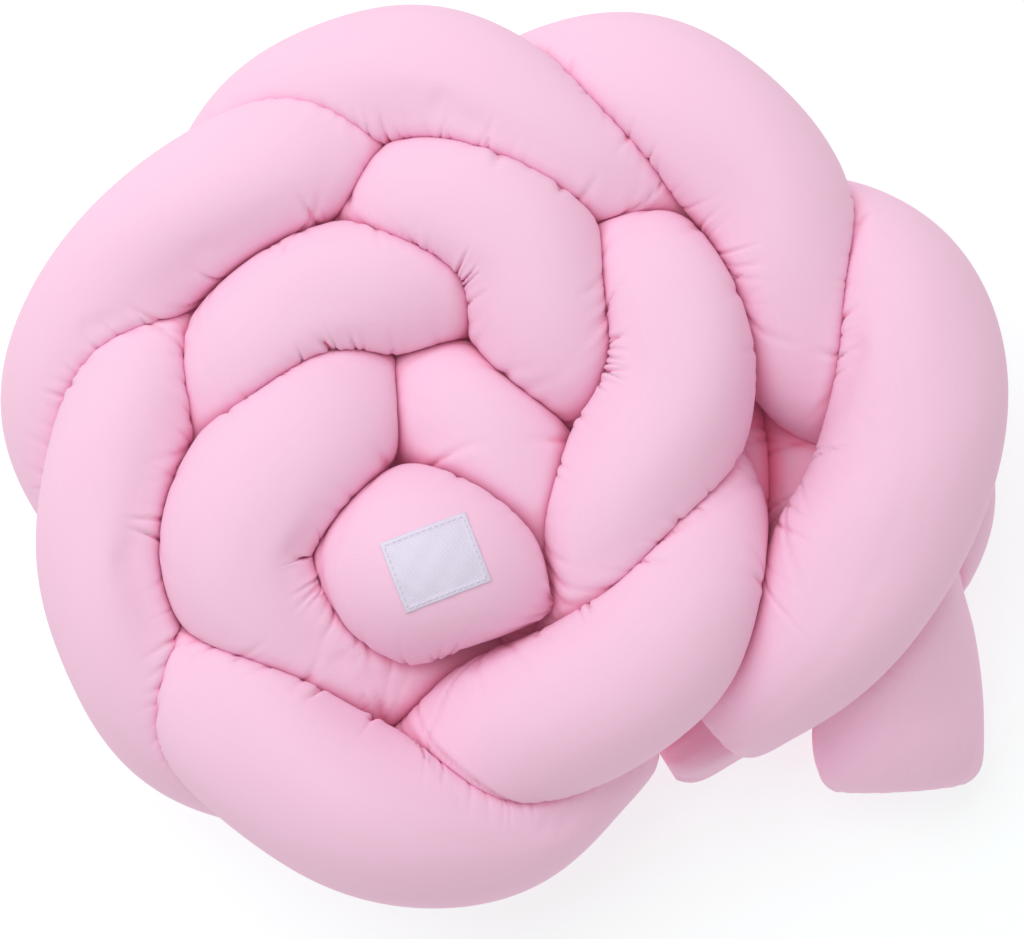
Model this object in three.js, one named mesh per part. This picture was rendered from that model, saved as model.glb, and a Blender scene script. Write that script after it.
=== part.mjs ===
// A braided crib bumper: three stuffed cotton tubes plaited into one long band, rolled up and
// stood on its lower edge, so that it reads from above as a rosette of overlapping lobes.
// Units are millimetres, +Z is up, and the part rests on Z = 0.
import * as THREE from 'three';

// The plait. A strand climbs over the upper edge, dives through the band, passes along the lower
// edge and climbs again three places further on. The next strand does the same one place later.
const PLACES_PER_WAVE = 3;
const CLIMB = 0.375; // places between a crown and where its strand climbs or dives
const LOWER_CROWN_HEIGHT = 42;
const LOWER_SHOULDER_HEIGHT = 58;
const LOWER_SWAY = 14; // half of the sideways swing of a pass along the lower edge
const LOWER_INSET = 12; // the lower edge is drawn in under the upper one
const LOWER_RADIUS = 46;
const CENTRE_OF_PLAN = new THREE.Vector2(1.327, 1.061); // middle of the rolled band

// The cloth tubes.
const TOUCHING_GAP = 5.8; // between the skins of two strands that press on each other
const SQUASH_SHARPNESS = 7; // how tightly a section rounds the corner from free to pressed
const OWN_TURN_LENGTH = 150; // a strand presses on itself only beyond this length
const LEAST_REACH = 2;
const BEND_SHARE = 0.88; // share of the bend's radius that the inner side of a tube may fill
const END_LENGTH = 60; // stretch over which a closed end tapers to its straight seam
const END_POWER = 2.5; // how late it tapers
const SEAM_SHARE = 0.06; // thickness left at that seam
const SEAM_NARROWING = 0.28; // width lost at that seam
const CORNER_POWER = 8; // how late towards the seam that width is lost
const GATHERED_STRAND = 0; // this strand's start has no straight seam, but is gathered to a point
const GATHERED_LENGTH = 80;
const SIDES = 20;
const RING_STEP = 24;
const GUIDE_STEP = 6;
const ROUTE_SAMPLES = 3000;
const ROUTE_STEP = 2;
const ROUNDING = 18; // width of the bell curve that rounds a route's bends
const CHORD_POWER = 0.75; // spaces the curve's knots, between even and by chord

// The woven label, sewn flat on the end that lies in the middle.
const LABEL_WIDTH = 49; // as seen from above
const LABEL_HEIGHT = 40;
const LABEL_THICKNESS = 1;
const LABEL_CLEARANCE = 0.4;
const LABEL_MIDDLE = new THREE.Vector2(-37, -62);
const LABEL_FROM_END = 68; // along the strand, from its gathered end to the label's middle
const LABEL_TURN = THREE.MathUtils.degToRad(21);
const SETTLING_ROUNDS = 16;
const SETTLING_SHARE = 0.5;
const LABEL_CELLS_WIDE = 12;
const LABEL_CELLS_HIGH = 10;

// The lobes that show on the upper edge, from the middle of the roll outwards: the strand, its
// place in the plait, the centre of the tube where it climbs, at its crown and where it dives,
// and the radius that the tube has where nothing presses on it.
const LOBES = [
  // strand, place, climb, crown, dive, radius
  [2, -1, [-42, 34, 120], [-7, 9, 130], [12, -47, 112], 47],
  [0, 0, [28, -83, 142], [-34, -61, 152], [-68, -61, 132], 59],
  [1, 1, [-94, -113, 118], [-154, -53, 150], [-102, 17, 142], 51],
  [2, 2, [-151, 46, 142], [-111, 88, 150], [-53, 95, 142], 43],
  [0, 3, [-51, 146, 142], [9, 124, 150], [27, 64, 136], 48],
  [1, 4, [84, 101, 142], [98, 46, 150], [55, -52, 139], 46],
  [2, 5, [104, -68, 142], [67, -122, 150], [5, -152, 138], 48],
  [0, 6, [-6, -203, 116], [-68, -202, 150], [-154, -139, 144], 47],
  [1, 7, [-178, -151, 126], [-219, -73, 150], [-203, 47, 142], 41],
  [2, 8, [-247, 34, 118], [-199, 113, 150], [-107, 169, 146], 43],
  [0, 9, [-120, 192, 128], [-41, 208, 150], [43, 165, 142], 45],
  [1, 10, [77, 204, 142], [142, 156, 150], [176, 62, 122], 46],
  [2, 11, [221, 88, 137], [229, 12, 150], [180, -88, 132], 50],
  [0, 12, [219, -76, 84], [233, -135, 58], [238, -194, 46], 52],
];

// The passes that the plait's rule doesn't give: around the middle, where the roll begins, and
// at the outer end, where the plait loosens and its tails lie on the floor.
const LOOSE_PASSES = [
  // strand, place, centre, radius
  [0, 0.8, [-94, -58, 85], 50],
  [0, 1.3, [-126, -21, 54], 46],
  [0, 1.8, [-109, 37, 54], 46],
  [0, 2.2, [-84, 92, 76], 46],
  [0, 4.1, [106, 46, 60], 46],
  [0, 4.5, [119, -8, 76], 46],
  [0, 4.9, [108, -62, 60], 50],
  [0, 5.3, [70, -132, 76], 44],
  [0, 10.1, [166, 148, 58], 44],
  [0, 10.5, [192, 92, 42], 44],
  [0, 10.9, [190, 26, 70], 44],
  [0, 11.25, [195, -33, 70], 51],
  [1, -0.3, [-21, -39, 52], 44],
  [1, -0.1, [-9, -75, 60], 44],
  [1, 0.2, [-32, -105, 84], 46],
  [1, 10.8, [222, 30, 84], 44],
  [1, 11.3, [252, -24, 54], 44],
  [1, 11.7, [205, -96, 40], 42],
  [1, 12.0, [148, -128, 38], 40],
  [1, 12.2, [88, -165, 40], 38],
  [2, -1.8, [-73, -12, 52], 44],
  [2, -1.6, [-57, 40, 84], 44],
  [2, -0.3, [15, -81, 80], 46],
  [2, 0.1, [-21, -117, 54], 46],
  [2, 0.5, [-81, -135, 42], 46],
  [2, 0.9, [-145, -96, 46], 46],
  [2, 1.25, [-174, -21, 60], 46],
  [2, 11.8, [146, -124, 108], 43],
  [2, 12.05, [116, -146, 88], 40],
];
const STRANDS = [0, 1, 2];

// A smooth curve through knots: each knot has a mark, the curve's own measure, and a Vector4 of
// its place and radius. The slope at a knot weighs the two stretches beside it.
function smoothCurve(marks, knots) {
  const slopes = knots.slice(1).map((knot, i) =>
    knot.clone().sub(knots[i]).divideScalar(marks[i + 1] - marks[i]));
  const tangents = knots.map((knot, i) => {
    if (i === 0 || i === knots.length - 1) return null;
    const before = marks[i] - marks[i - 1];
    const after = marks[i + 1] - marks[i];
    return slopes[i - 1].clone().multiplyScalar(after)
      .addScaledVector(slopes[i], before).divideScalar(before + after);
  });
  const last = knots.length - 1;
  tangents[0] = slopes[0].clone().multiplyScalar(1.5).addScaledVector(tangents[1], -0.5);
  tangents[last] = slopes[last - 1].clone().multiplyScalar(1.5)
    .addScaledVector(tangents[last - 1], -0.5);
  return (mark) => {
    let i = 0;
    while (i < last - 1 && mark > marks[i + 1]) i += 1;
    const span = marks[i + 1] - marks[i];
    const f = (mark - marks[i]) / span;
    const f2 = f * f;
    const f3 = f2 * f;
    return knots[i].clone().multiplyScalar(2 * f3 - 3 * f2 + 1)
      .addScaledVector(tangents[i], (f3 - 2 * f2 + f) * span)
      .addScaledVector(knots[i + 1], 3 * f2 - 2 * f3)
      .addScaledVector(tangents[i + 1], (f3 - f2) * span);
  };
}

const knotAt = ([x, y, z], radius) => new THREE.Vector4(x, y, z, radius);
const crownLine = smoothCurve(
  LOBES.map(([, place]) => place),
  LOBES.map(([, , , crown, , radius]) => knotAt(crown, radius)),
);

// A knot of a pass along the lower edge. swing is 1 where the strand arrives on the outer face,
// 0 at its lowest and -1 where it leaves on the inner face.
function lowerKnot(place, swing) {
  const nearby = 1e-3;
  const middle = crownLine(place);
  const run = crownLine(place + nearby).sub(crownLine(place - nearby));
  const outward = new THREE.Vector2(-run.y, run.x).normalize();
  const shift = swing * LOWER_SWAY - LOWER_INSET;
  const height = swing === 0 ? LOWER_CROWN_HEIGHT : LOWER_SHOULDER_HEIGHT;
  return new THREE.Vector4(
    middle.x + outward.x * shift,
    middle.y + outward.y * shift,
    height,
    LOWER_RADIUS,
  );
}

// All knots of one strand in order of place: its lobes, its loose passes, and the rule's pass
// between two lobes wherever no loose pass is listed.
function strandKnots(strand) {
  const knots = LOOSE_PASSES.filter(([owner]) => owner === strand)
    .map(([, place, centre, radius]) => ({ place, knot: knotAt(centre, radius) }));
  const loosePlaces = knots.map(({ place }) => place);
  const lobes = LOBES.filter(([owner]) => owner === strand);
  for (const [, place, climb, crown, dive, radius] of lobes) {
    knots.push({ place: place - CLIMB, knot: knotAt(climb, radius) });
    knots.push({ place, knot: knotAt(crown, radius) });
    knots.push({ place: place + CLIMB, knot: knotAt(dive, radius) });
    const lowest = place + PLACES_PER_WAVE / 2;
    const isLoose = loosePlaces.some((loose) => Math.abs(loose - lowest) < 1);
    const isLast = place + PLACES_PER_WAVE > lobes.at(-1)[1];
    if (isLoose || isLast) continue;
    for (const swing of [1, 0, -1]) {
      const lower = lowest - swing * CLIMB;
      knots.push({ place: lower, knot: lowerKnot(lower, swing) });
    }
  }
  return knots.sort((a, b) => a.place - b.place).map(({ knot }) => knot);
}

const pointOf = (knot) => new THREE.Vector3(knot.x, knot.y, knot.z);

// The lengths from the first of some knots to each one.
function lengthsAlong(knots) {
  const lengths = [0];
  for (let i = 1; i < knots.length; i += 1) {
    lengths.push(lengths[i - 1] + pointOf(knots[i]).distanceTo(pointOf(knots[i - 1])));
  }
  return lengths;
}

// Reads a line of knots at a length along it.
function lineThrough(knots, lengths) {
  return (along) => {
    let low = 0;
    let high = knots.length - 1;
    while (high - low > 1) {
      const middle = (low + high) >> 1;
      if (lengths[middle] > along) high = middle;
      else low = middle;
    }
    const share = (along - lengths[low]) / (lengths[high] - lengths[low]);
    return knots[low].clone().lerp(knots[high], share);
  };
}

const evenly = (length, step) => {
  const count = Math.ceil(length / step);
  return Array.from({ length: count + 1 }, (_, i) => (length * i) / count);
};

// A stuffed tube doesn't kink: each knot becomes a mean of its neighbours under a bell curve. The
// line is carried on past its ends, turned about the end knots, so the ends stay where they are.
function rounded(knots) {
  const reach = Math.floor((3 * ROUNDING) / ROUTE_STEP);
  const last = knots.length - 1;
  const beyond = (i) => {
    if (i < 0) return knots[0].clone().multiplyScalar(2).sub(knots[-i]);
    if (i > last) return knots[last].clone().multiplyScalar(2).sub(knots[2 * last - i]);
    return knots[i];
  };
  const shares = [];
  for (let step = -reach; step <= reach; step += 1) {
    shares.push(Math.exp(-0.5 * ((step * ROUTE_STEP) / ROUNDING) ** 2));
  }
  const whole = shares.reduce((sum, share) => sum + share, 0);
  return knots.map((_, i) => shares.reduce(
    (mean, share, k) => mean.addScaledVector(beyond(i + k - reach), share / whole),
    new THREE.Vector4(0, 0, 0, 0),
  ));
}

// A strand's route, measured by the length along it.
function strandRoute(strand) {
  const knots = strandKnots(strand);
  const marks = [0];
  for (let i = 1; i < knots.length; i += 1) {
    const chord = pointOf(knots[i]).distanceTo(pointOf(knots[i - 1]));
    marks.push(marks[i - 1] + chord ** CHORD_POWER);
  }
  const curve = smoothCurve(marks, knots);
  const samples = evenly(marks.at(-1), marks.at(-1) / ROUTE_SAMPLES).map(curve);
  const sampleLengths = lengthsAlong(samples);
  const even = evenly(sampleLengths.at(-1), ROUTE_STEP).map(lineThrough(samples, sampleLengths));
  const line = rounded(even);
  const lengths = lengthsAlong(line);
  if (strand === GATHERED_STRAND) {
    line.forEach((knot, i) => {
      const gathering = Math.max(1 - lengths[i] / GATHERED_LENGTH, 0);
      knot.w *= SEAM_SHARE + (1 - SEAM_SHARE) * (1 - gathering ** 1.5) ** 0.8;
    });
  }
  return { strand, length: lengths.at(-1), at: lineThrough(line, lengths) };
}

const ROUTES = STRANDS.map(strandRoute);

// Points along all three routes, against which every section is squashed.
const GUIDES = ROUTES.map(({ length, at }) => evenly(length, GUIDE_STEP).map((along) => {
  const knot = at(along);
  return { along, point: pointOf(knot), radius: knot.w };
}));

// The route's direction, the two axes of the section there, and the bend as a vector that points
// to the inside of the curve with a length of 1 / radius.
function stationAt({ strand, length, at }, along) {
  const back = Math.max(along - GUIDE_STEP, 0);
  const ahead = Math.min(along + GUIDE_STEP, length);
  const here = at(along);
  const point = pointOf(here);
  const arriving = point.clone().sub(pointOf(at(back)));
  const leaving = pointOf(at(ahead)).sub(point);
  const forward = arriving.clone().add(leaving).normalize();
  const side = new THREE.Vector3().crossVectors(forward, new THREE.Vector3(0, 0, 1)).normalize();
  const up = new THREE.Vector3().crossVectors(side, forward);
  const bend = back === 0 || ahead === length
    ? new THREE.Vector3()
    : leaving.normalize().sub(arriving.normalize()).divideScalar(GUIDE_STEP);
  return { strand, along, length, point, radius: here.w, forward, side, up, bend };
}

// How far a section may reach before it meets one strand: the skins meet where the distances to
// the two routes differ as the two radii do.
function reachToStrand(station, direction, strand) {
  let reach = Infinity;
  const toGuide = new THREE.Vector3();
  for (const guide of GUIDES[strand]) {
    const isOwnTurn = strand === station.strand
      && Math.abs(guide.along - station.along) <= OWN_TURN_LENGTH;
    if (isOwnTurn) continue;
    toGuide.subVectors(guide.point, station.point);
    const lead = guide.radius - station.radius + TOUCHING_GAP;
    const closing = lead + direction.dot(toGuide);
    if (closing <= 0) continue;
    reach = Math.min(reach, (toGuide.lengthSq() - lead * lead) / (2 * closing));
  }
  return Math.max(reach, LEAST_REACH);
}

// The skin of a strand: the point at a length along it and at an angle around it, where 90
// degrees is its upper side. It is squashed by its neighbours, by its own bends and by the floor.
function skin(route, along, angle) {
  const station = stationAt(route, along);
  const direction = station.side.clone().multiplyScalar(Math.cos(angle))
    .addScaledVector(station.up, Math.sin(angle));
  const inward = direction.dot(station.bend);
  const reaches = [
    station.radius,
    ...STRANDS.map((strand) => reachToStrand(station, direction, strand)),
    inward > 0 ? BEND_SHARE / inward : Infinity,
  ];
  const crowding = reaches.reduce((sum, reach) => sum + reach ** -SQUASH_SHARPNESS, 0);
  const reach = crowding ** (-1 / SQUASH_SHARPNESS);
  const fromStart = station.strand === GATHERED_STRAND ? Infinity : along;
  const fromEnd = Math.min(fromStart, station.length - along);
  const closing = Math.max(1 - fromEnd / END_LENGTH, 0);
  const thickness = SEAM_SHARE + (1 - SEAM_SHARE) * Math.sqrt(1 - closing ** END_POWER);
  const width = 1 - SEAM_NARROWING * closing ** CORNER_POWER;
  const offset = station.side.clone().multiplyScalar(Math.cos(angle) * width * reach)
    .addScaledVector(station.up, Math.sin(angle) * thickness * reach);
  if (offset.z < -station.point.z) offset.multiplyScalar(station.point.z / -offset.z);
  return station.point.clone().add(offset);
}

function closedBody(points, triangles) {
  const geometry = new THREE.BufferGeometry();
  geometry.setFromPoints(points);
  geometry.setIndex(triangles);
  geometry.computeVertexNormals();
  return geometry;
}

// A strand's body: a ring of skin points at each step, and a fan over each closed end.
function strandBody(route) {
  const points = [];
  const triangles = [];
  const stops = evenly(route.length, RING_STEP);
  for (const along of stops) {
    for (let side = 0; side < SIDES; side += 1) {
      points.push(skin(route, along, (2 * Math.PI * side) / SIDES));
    }
  }
  for (let ring = 0; ring + 1 < stops.length; ring += 1) {
    for (let side = 0; side < SIDES; side += 1) {
      const a = ring * SIDES + side;
      const b = ring * SIDES + ((side + 1) % SIDES);
      triangles.push(a, b + SIDES, b, a, a + SIDES, b + SIDES);
    }
  }
  const startCentre = points.length;
  const endCentre = startCentre + 1;
  points.push(pointOf(route.at(0)), pointOf(route.at(route.length)));
  const lastRing = (stops.length - 1) * SIDES;
  for (let side = 0; side < SIDES; side += 1) {
    const next = (side + 1) % SIDES;
    triangles.push(startCentre, side, next);
    triangles.push(endCentre, lastRing + next, lastRing + side);
  }
  return closedBody(points, triangles);
}

// The skin of a strand right above a point of the plan: a first guess at its crown is corrected
// along and around the strand until it stands over that point.
function skinAbove(route, plan) {
  let along = LABEL_FROM_END;
  let angle = Math.PI / 2;
  for (let round = 0; round < SETTLING_ROUNDS; round += 1) {
    const station = stationAt(route, along);
    const found = skin(route, along, angle);
    const miss = new THREE.Vector3(plan.x - found.x, plan.y - found.y, 0);
    along += SETTLING_SHARE * miss.dot(station.forward);
    angle -= (SETTLING_SHARE * miss.dot(station.side)) / station.radius;
  }
  const point = skin(route, along, angle);
  const lengthwise = skin(route, along + GUIDE_STEP, angle).sub(point);
  const crosswise = skin(route, along, angle + GUIDE_STEP / LOWER_RADIUS).sub(point);
  return { point, outward: lengthwise.cross(crosswise).normalize() };
}

// The label's body: a thin slab that follows the skin of the strand it is sewn on.
function labelBody(route) {
  const level = (column, row, lift) => {
    const plan = new THREE.Vector2(
      (column / LABEL_CELLS_WIDE - 0.5) * LABEL_WIDTH,
      (row / LABEL_CELLS_HIGH - 0.5) * LABEL_HEIGHT,
    ).rotateAround(new THREE.Vector2(), LABEL_TURN).add(LABEL_MIDDLE);
    const { point, outward } = skinAbove(route, plan);
    return point.addScaledVector(outward, lift);
  };
  const points = [];
  const triangles = [];
  const columns = LABEL_CELLS_WIDE + 1;
  const rows = LABEL_CELLS_HIGH + 1;
  for (const lift of [LABEL_CLEARANCE, LABEL_CLEARANCE + LABEL_THICKNESS]) {
    for (let row = 0; row < rows; row += 1) {
      for (let column = 0; column < columns; column += 1) points.push(level(column, row, lift));
    }
  }
  const upper = columns * rows;
  for (let row = 0; row + 1 < rows; row += 1) {
    for (let column = 0; column + 1 < columns; column += 1) {
      const a = row * columns + column;
      const b = a + columns;
      triangles.push(a, b, b + 1, a, b + 1, a + 1);
      triangles.push(upper + a, upper + b + 1, upper + b, upper + a, upper + a + 1, upper + b + 1);
    }
  }
  const rim = [];
  for (let column = 0; column + 1 < columns; column += 1) rim.push(column);
  for (let row = 0; row + 1 < rows; row += 1) rim.push(row * columns + columns - 1);
  for (let column = columns - 1; column > 0; column -= 1) rim.push((rows - 1) * columns + column);
  for (let row = rows - 1; row > 0; row -= 1) rim.push(row * columns);
  rim.forEach((here, i) => {
    const next = rim[(i + 1) % rim.length];
    triangles.push(here, next, upper + next, here, upper + next, upper + here);
  });
  return closedBody(points, triangles);
}

const cotton = (color) => new THREE.MeshStandardMaterial({ color, roughness: 0.9, metalness: 0 });
const plait = new THREE.Group();
plait.position.set(-CENTRE_OF_PLAN.x, -CENTRE_OF_PLAN.y, 0);

// The strand whose closed end lies in the middle of the roll and carries the label.
const labelledStrand = new THREE.Mesh(strandBody(ROUTES[0]), cotton(0xf6cfdf));
labelledStrand.name = 'labelled_strand';
plait.add(labelledStrand);

// The strand that wraps the middle and whose tail lies lowest at the outer end.
const wrappingStrand = new THREE.Mesh(strandBody(ROUTES[1]), cotton(0xf6cfdf));
wrappingStrand.name = 'wrapping_strand';
plait.add(wrappingStrand);

// The strand that ends the plait with its longest lobe.
const closingStrand = new THREE.Mesh(strandBody(ROUTES[2]), cotton(0xf6cfdf));
closingStrand.name = 'closing_strand';
plait.add(closingStrand);

const label = new THREE.Mesh(labelBody(ROUTES[0]), cotton(0xf4f4fa));
label.name = 'label';
plait.add(label);

const bumper = new THREE.Group();
bumper.add(plait);
export default bumper;
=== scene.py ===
# %% [markdown]
# A braided crib bumper, rolled up
#
# Three long cotton tubes are stuffed, closed at both ends and plaited into one band about two
# metres long, which pads the inside of a cot. Here the band is rolled up and stands on its
# lower edge, so that from above it reads as a rosette of overlapping lobes. This lesson builds
# the three tubes from the routes that they take through the plait, presses them against each
# other as full cushions are pressed, gathers the cloth on the inner side of each bend, and adds
# the label, the cloth, the floor and the light.

import bpy
import numpy as np
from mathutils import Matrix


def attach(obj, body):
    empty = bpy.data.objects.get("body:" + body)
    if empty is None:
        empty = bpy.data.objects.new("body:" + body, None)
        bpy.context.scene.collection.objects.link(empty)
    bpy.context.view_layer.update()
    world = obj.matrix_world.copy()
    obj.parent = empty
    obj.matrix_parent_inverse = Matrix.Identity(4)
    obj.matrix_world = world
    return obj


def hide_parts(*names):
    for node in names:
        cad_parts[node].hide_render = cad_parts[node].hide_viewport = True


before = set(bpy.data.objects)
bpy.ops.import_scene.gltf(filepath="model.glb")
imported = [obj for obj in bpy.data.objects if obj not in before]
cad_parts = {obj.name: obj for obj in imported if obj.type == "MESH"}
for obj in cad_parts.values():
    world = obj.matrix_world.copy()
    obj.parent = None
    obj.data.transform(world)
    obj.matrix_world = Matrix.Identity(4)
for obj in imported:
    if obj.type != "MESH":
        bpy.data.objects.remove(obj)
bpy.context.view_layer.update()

MM = 0.001
TINY = 1e-9  # keeps a division away from 0
print("solids to dress:", sorted(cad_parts))


def add_object(name, data):
    """A new object in the scene for a mesh, a camera or a light."""
    thing = bpy.data.objects.new(name, data)
    bpy.context.scene.collection.objects.link(thing)
    return thing


# %% [markdown]
# The camera first
#
# The photograph looks almost straight down on the roll from about a metre and a quarter away,
# with the top of the picture a little further off. A lens that long flattens the lobes, and
# the near view still lets the upper edge hide most of the lower one.

# %% Camera
IMAGE_WIDTH = 1024
MM_PER_PIXEL = 0.56  # at the height of the lobes' centres
CAMERA_DISTANCE = 1.25
CAMERA_ELEVATION = np.radians(86.0)
CROWN_HEIGHT = 0.15
AIM = np.array([0.0026, -0.0064, 0.1])
SENSOR_WIDTH = 36.0
CLIP_START = 0.01


def add_camera():
    """A camera on a line from AIM, tilted from the horizon by CAMERA_ELEVATION. Its lens makes
    one pixel as wide as MM_PER_PIXEL at the height of the lobes."""
    back = np.array([0.0, -np.cos(CAMERA_ELEVATION), np.sin(CAMERA_ELEVATION)])
    distance_to_lobes = CAMERA_DISTANCE - (CROWN_HEIGHT - AIM[2]) * np.sin(CAMERA_ELEVATION)
    pixels_per_slope = distance_to_lobes / (MM_PER_PIXEL * MM)
    data = bpy.data.cameras.new("camera")
    data.sensor_width = SENSOR_WIDTH
    data.lens = SENSOR_WIDTH * pixels_per_slope / IMAGE_WIDTH
    data.clip_start = CLIP_START
    camera = add_object("camera", data)
    camera.location = AIM + back * CAMERA_DISTANCE
    camera.rotation_euler = (np.pi / 2 - CAMERA_ELEVATION, 0.0, 0.0)
    bpy.context.scene.camera = camera
    print("lens", round(data.lens, 1), "mm")


add_camera()

# %% [markdown]
# The plait
#
# A strand of a flat plait climbs over the upper edge, dives through the band, passes along the
# lower edge and climbs again. Its neighbour does the same one place later, so a strand comes
# back to the upper edge every third place. Each row below is one lobe of the upper edge, from
# the middle of the roll outwards. The lower passes follow from the rule, apart from those at
# the roll's middle and at its loose outer end, which are listed.

# %% The lobes and the loose passes
PLACES_PER_WAVE = 3
CLIMB = 0.375  # places between a crown and where its strand climbs or dives
LOWER_CROWN_HEIGHT = 42
LOWER_SHOULDER_HEIGHT = 58
LOWER_SWAY = 14
LOWER_INSET = 12
LOWER_RADIUS = 46
CENTRE_OF_PLAN = np.array([1.327, 1.061, 0.0])

# strand, place, climb, crown, dive, radius, all in millimetres
LOBES = [
    (2, -1, (-42, 34, 120), (-7, 9, 130), (12, -47, 112), 47),
    (0, 0, (28, -83, 142), (-34, -61, 152), (-68, -61, 132), 59),
    (1, 1, (-94, -113, 118), (-154, -53, 150), (-102, 17, 142), 51),
    (2, 2, (-151, 46, 142), (-111, 88, 150), (-53, 95, 142), 43),
    (0, 3, (-51, 146, 142), (9, 124, 150), (27, 64, 136), 48),
    (1, 4, (84, 101, 142), (98, 46, 150), (55, -52, 139), 46),
    (2, 5, (104, -68, 142), (67, -122, 150), (5, -152, 138), 48),
    (0, 6, (-6, -203, 116), (-68, -202, 150), (-154, -139, 144), 47),
    (1, 7, (-178, -151, 126), (-219, -73, 150), (-203, 47, 142), 41),
    (2, 8, (-247, 34, 118), (-199, 113, 150), (-107, 169, 146), 43),
    (0, 9, (-120, 192, 128), (-41, 208, 150), (43, 165, 142), 45),
    (1, 10, (77, 204, 142), (142, 156, 150), (176, 62, 122), 46),
    (2, 11, (221, 88, 137), (229, 12, 150), (180, -88, 132), 50),
    (0, 12, (219, -76, 84), (233, -135, 58), (238, -194, 46), 52),
]
# strand, place, centre, radius, all in millimetres
LOOSE_PASSES = [
    (0, 0.8, (-94, -58, 85), 50), (0, 1.3, (-126, -21, 54), 46), (0, 1.8, (-109, 37, 54), 46),
    (0, 2.2, (-84, 92, 76), 46), (0, 4.1, (106, 46, 60), 46), (0, 4.5, (119, -8, 76), 46),
    (0, 4.9, (108, -62, 60), 50), (0, 5.3, (70, -132, 76), 44), (0, 10.1, (166, 148, 58), 44),
    (0, 10.5, (192, 92, 42), 44), (0, 10.9, (190, 26, 70), 44), (0, 11.25, (195, -33, 70), 51),
    (1, -0.3, (-21, -39, 52), 44), (1, -0.1, (-9, -75, 60), 44), (1, 0.2, (-32, -105, 84), 46),
    (1, 10.8, (222, 30, 84), 44), (1, 11.3, (252, -24, 54), 44), (1, 11.7, (205, -96, 40), 42),
    (1, 12.0, (148, -128, 38), 40), (1, 12.2, (88, -165, 40), 38), (2, -1.8, (-73, -12, 52), 44),
    (2, -1.6, (-57, 40, 84), 44), (2, -0.3, (15, -81, 80), 46), (2, 0.1, (-21, -117, 54), 46),
    (2, 0.5, (-81, -135, 42), 46), (2, 0.9, (-145, -96, 46), 46), (2, 1.25, (-174, -21, 60), 46),
    (2, 11.8, (146, -124, 108), 43), (2, 12.05, (116, -146, 88), 40),
]
STRANDS = (0, 1, 2)
print(len(LOBES), "lobes and", len(LOOSE_PASSES), "knots of loose passes")


# %% A curve through knots
def knot(centre, radius):
    """A knot is a row of x, y, z and radius in metres, about the middle of the plan."""
    return np.append(np.array(centre) - CENTRE_OF_PLAN, radius) * MM


def smooth_curve(marks, knots, at):
    """The curve through knots at the marks, read at other marks. Its slope at a knot weighs the
    slopes of the two stretches beside it, each by the length of the other, and each stretch is
    a cubic with the slopes of its two knots."""
    marks = np.asarray(marks, float)
    knots = np.asarray(knots, float)
    at = np.atleast_1d(np.asarray(at, float))
    tail = (1,) * (knots.ndim - 1)
    gaps = np.diff(marks).reshape(-1, *tail)
    slopes = np.diff(knots, axis=0) / gaps
    tangents = np.empty_like(knots)
    weighed = slopes[:-1] * gaps[1:] + slopes[1:] * gaps[:-1]
    tangents[1:-1] = weighed / (gaps[1:] + gaps[:-1])
    tangents[0] = 1.5 * slopes[0] - 0.5 * tangents[1]
    tangents[-1] = 1.5 * slopes[-1] - 0.5 * tangents[-2]
    i = np.clip(np.searchsorted(marks, at, side="right") - 1, 0, len(marks) - 2)
    gap = gaps[i]
    f = ((at - marks[i]).reshape(-1, *tail)) / gap
    near = (2 * f**3 - 3 * f**2 + 1) * knots[i] + (f**3 - 2 * f**2 + f) * gap * tangents[i]
    far = (3 * f**2 - 2 * f**3) * knots[i + 1] + (f**3 - f**2) * gap * tangents[i + 1]
    return near + far


# %% The knots of each strand
CROWN_PLACES = [row[1] for row in LOBES]
CROWN_KNOTS = [knot(row[3], row[5]) for row in LOBES]
PLACE_NUDGE = 1e-3  # places to each side, to see which way the line of crowns runs


def lower_knot(place, swing):
    """A knot of a pass along the lower edge: under the line of crowns, drawn inwards by
    LOWER_INSET and swung outwards by swing times LOWER_SWAY. It is lowest where swing is 0."""
    beside = [place - PLACE_NUDGE, place, place + PLACE_NUDGE]
    before, middle, after = smooth_curve(CROWN_PLACES, CROWN_KNOTS, beside)
    run = (after - before)[:2]
    outward = np.array([-run[1], run[0]]) / np.hypot(*run)
    plan = middle[:2] + outward * (swing * LOWER_SWAY - LOWER_INSET) * MM
    height = LOWER_SHOULDER_HEIGHT if swing else LOWER_CROWN_HEIGHT
    return np.array([*plan, height * MM, LOWER_RADIUS * MM])


def strand_knots(strand):
    """All knots of one strand in order of place: its lobes, its loose passes, and the rule's
    pass between two lobes wherever no loose pass is listed."""
    rows = [(place, knot(centre, radius)) for owner, place, centre, radius in LOOSE_PASSES
            if owner == strand]
    loose_places = np.array([place for place, _ in rows])
    lobes = [row for row in LOBES if row[0] == strand]
    for _, place, climb, crown, dive, radius in lobes:
        rows += [(place - CLIMB, knot(climb, radius)), (place, knot(crown, radius)),
                 (place + CLIMB, knot(dive, radius))]
        lowest = place + PLACES_PER_WAVE / 2
        is_loose = np.any(np.abs(loose_places - lowest) < 1)
        is_last = place + PLACES_PER_WAVE > lobes[-1][1]
        if is_loose or is_last:
            continue
        for swing in (1, 0, -1):
            lower = lowest - swing * CLIMB
            rows.append((lower, lower_knot(lower, swing)))
    rows.sort(key=lambda row: row[0])
    return np.array([row[1] for row in rows])


print("knots:", [len(strand_knots(strand)) for strand in STRANDS])

# %% [markdown]
# From knots to routes
#
# The knots are joined by a smooth curve, and the curve is measured, so that everything after
# this can ask for the place at so many millimetres along a strand. At each such station the
# cloth is drawn on a ring square to the route, with one axis level and the other one upwards.

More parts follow.
